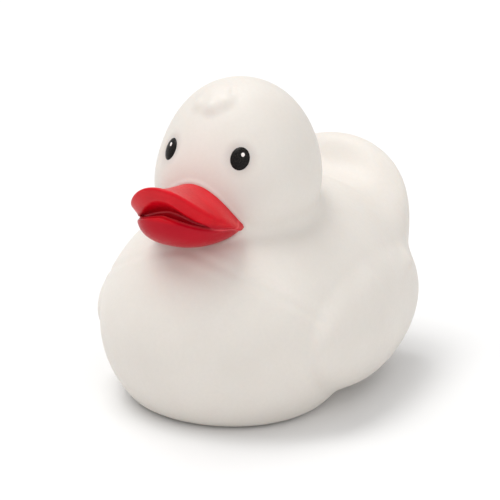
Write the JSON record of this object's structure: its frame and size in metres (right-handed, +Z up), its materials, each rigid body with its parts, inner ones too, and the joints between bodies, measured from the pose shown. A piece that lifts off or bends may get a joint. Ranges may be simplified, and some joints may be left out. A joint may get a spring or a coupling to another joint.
{
  "type": "floating chlorine dispenser",
  "caption": "Bath-duck-shaped pool float with a tablet canister hidden in its belly, held by a quick-thread collar, with a turnable flow dial and a vent to the nape.",
  "frame": {"origin": "centre of the footprint: on the surface the duck rests on, under the middle of its bounding box", "axes": "+Z up; the duck faces -Y; its left side is +X; the axis of the tablet well is vertical, through x 0, y -0.0359"},
  "size_m": [0.2076, 0.2606, 0.227],
  "materials": {
    "vinyl_white": "soft matte",
    "vinyl_red": "satin",
    "eye_black": "gloss",
    "glint_white": "gloss",
    "moulded_white": "fine texture",
    "moulded_grey": "fine texture",
    "seal_rubber": "matte",
    "silicone": "satin",
    "stainless": "brushed",
    "dial_blue": "satin"
  },
  "bodies": {
    "duck": {"duck_shell": "vinyl_white", "bill": "vinyl_red", "eye_left": "eye_black", "eye_right": "eye_black", "eye_glint_left": "glint_white", "eye_glint_right": "glint_white", "well_housing": "moulded_white", "well_gasket": "seal_rubber", "well_screws": "stainless", "vent_tube": "silicone", "vent_clip_lower": "stainless", "vent_clip_upper": "stainless", "vent_grommet": "seal_rubber", "vent_nipple": "moulded_white"},
    "canister": {"tablet_canister": "moulded_grey", "ballast_sleeve": "stainless", "dial_gasket": "seal_rubber", "dial_screw": "stainless", "dial_washer": "stainless"},
    "collar": {"lock_collar": "moulded_white", "snap_ring": "moulded_grey"},
    "dial": {"flow_dial": "dial_blue"}
  },
  "joints": [
    {"name": "canister_slide", "type": "slide", "parent": "duck", "child": "canister", "axis": [0, 0, -1], "range_m": [0, 0.0101]},
    {"name": "collar_turn", "type": "hinge", "parent": "canister", "child": "collar", "pos_m": [0, -0.0359, 0], "axis": [0, 0, -1], "range_deg": [0, 150]},
    {"name": "dial_turn", "type": "hinge", "parent": "canister", "child": "dial", "pos_m": [0, -0.0359, 0], "axis": [0, 0, -1], "range_deg": [0, 45]}
  ],
  "couplings": [
    {"joint": "canister_slide", "follows": "collar_turn", "m_per_rad": 0.0038197}
  ]
}
